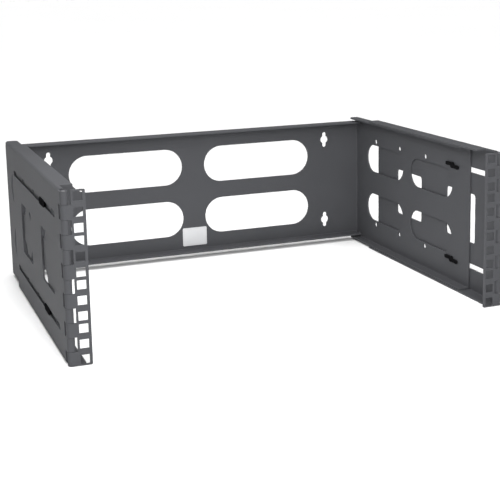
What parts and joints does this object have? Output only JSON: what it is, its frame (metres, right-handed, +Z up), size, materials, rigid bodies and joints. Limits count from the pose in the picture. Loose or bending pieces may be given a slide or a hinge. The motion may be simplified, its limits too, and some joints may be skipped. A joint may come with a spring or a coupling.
{
  "type": "hinged wall mount rack bracket",
  "caption": "Hinged, adjustable-depth steel wall bracket for 19-inch rack equipment: U-shaped bracket, two sliding arms and two hinged rack rails.",
  "frame": {"origin": "middle of the back plate's rear face, on the wall", "axes": "+Y into the wall, +Z up, +X to the right of someone who faces the rack"},
  "size_m": [0.5012, 0.3715, 0.1778],
  "materials": {
    "powder_coat": "satin charcoal-grey powder coat",
    "pin_steel": "dull drawn steel",
    "black_hardware": "black oxide",
    "label": "white satin film"
  },
  "bodies": {
    "wall_bracket": {"wall_bracket": "powder_coat", "blank_label": "label", "left_upper_clamp_bolt": "black_hardware", "left_lower_clamp_bolt": "black_hardware", "right_upper_clamp_bolt": "black_hardware", "right_lower_clamp_bolt": "black_hardware"},
    "left_outer_arm": {"left_outer_arm": "powder_coat", "left_hinge_pin": "pin_steel"},
    "left_rack_rail": {"left_rack_rail": "powder_coat"},
    "left_upper_wing_nut": {"left_upper_wing_nut": "black_hardware"},
    "left_lower_wing_nut": {"left_lower_wing_nut": "black_hardware"},
    "right_outer_arm": {"right_outer_arm": "powder_coat", "right_hinge_pin": "pin_steel"},
    "right_rack_rail": {"right_rack_rail": "powder_coat"},
    "right_upper_wing_nut": {"right_upper_wing_nut": "black_hardware"},
    "right_lower_wing_nut": {"right_lower_wing_nut": "black_hardware"}
  },
  "joints": [
    {"name": "left_depth_slide", "type": "slide", "parent": "wall_bracket", "child": "left_outer_arm", "axis": [0, -1, 0], "range_m": [-0.057, 0.181]},
    {"name": "left_rail_hinge", "type": "hinge", "parent": "left_outer_arm", "child": "left_rack_rail", "pos_m": [-0.24535, -0.36745, 0], "axis": [0, 0, -1], "range_deg": [0, 190]},
    {"name": "left_upper_wing_nut_turn", "type": "hinge", "parent": "wall_bracket", "child": "left_upper_wing_nut", "pos_m": [-0.243, -0.2671, 0.05835], "axis": [-1, 0, 0], "continuous": true},
    {"name": "left_lower_wing_nut_turn", "type": "hinge", "parent": "wall_bracket", "child": "left_lower_wing_nut", "pos_m": [-0.243, -0.2671, -0.05835], "axis": [-1, 0, 0], "continuous": true},
    {"name": "right_depth_slide", "type": "slide", "parent": "wall_bracket", "child": "right_outer_arm", "axis": [0, -1, 0], "range_m": [-0.057, 0.181]},
    {"name": "right_rail_hinge", "type": "hinge", "parent": "right_outer_arm", "child": "right_rack_rail", "pos_m": [0.24535, -0.36745, 0], "axis": [0, 0, 1], "range_deg": [0, 190]},
    {"name": "right_upper_wing_nut_turn", "type": "hinge", "parent": "wall_bracket", "child": "right_upper_wing_nut", "pos_m": [0.243, -0.2671, 0.05835], "axis": [1, 0, 0], "continuous": true},
    {"name": "right_lower_wing_nut_turn", "type": "hinge", "parent": "wall_bracket", "child": "right_lower_wing_nut", "pos_m": [0.243, -0.2671, -0.05835], "axis": [1, 0, 0], "continuous": true}
  ]
}
